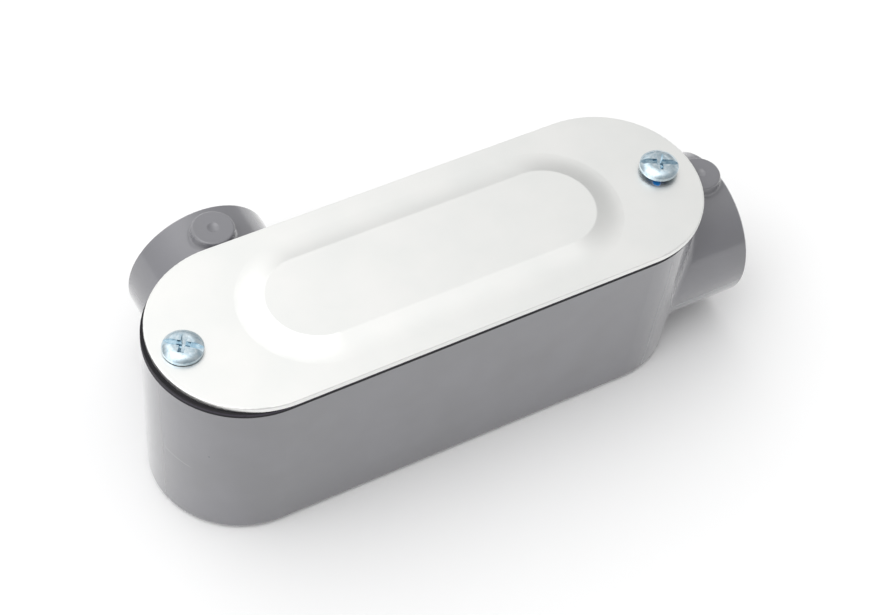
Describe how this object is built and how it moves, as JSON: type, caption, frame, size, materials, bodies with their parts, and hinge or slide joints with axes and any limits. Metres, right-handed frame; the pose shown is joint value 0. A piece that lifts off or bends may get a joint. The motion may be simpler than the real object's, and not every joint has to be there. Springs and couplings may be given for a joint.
{
  "type": "conduit body",
  "caption": "Conduit body with a right-hand side hub and an end hub, a chamber for turning wires, and a screwed cover on a gasket.",
  "frame": {"origin": "centre of the flat base's stadium outline, on the base", "axes": "+X out of the end hub, +Y out of the side hub, +Z out through the cover"},
  "size_m": [0.1362, 0.0589, 0.0461],
  "materials": {
    "enamelled_casting": "gloss",
    "sheet_aluminium": "satin",
    "gasket_rubber": "matte",
    "zinc_plated_steel": "gloss",
    "nylon_patch": "matte"
  },
  "bodies": {
    "housing": {"body_casting": "enamelled_casting", "cover_gasket": "gasket_rubber", "cover_plate": "sheet_aluminium"},
    "screw_hub_end": {"cover_screw_hub_end": "zinc_plated_steel", "thread_patch_hub_end": "nylon_patch"},
    "screw_blind_end": {"cover_screw_blind_end": "zinc_plated_steel", "thread_patch_blind_end": "nylon_patch"}
  },
  "joints": [
    {"name": "screw_hub_end_travel", "type": "slide", "parent": "housing", "child": "screw_hub_end", "axis": [0, 0, 1], "range_m": [-0.001, 0.003]},
    {"name": "screw_blind_end_travel", "type": "slide", "parent": "housing", "child": "screw_blind_end", "axis": [0, 0, 1], "range_m": [-0.0002, 0.0038]}
  ]
}
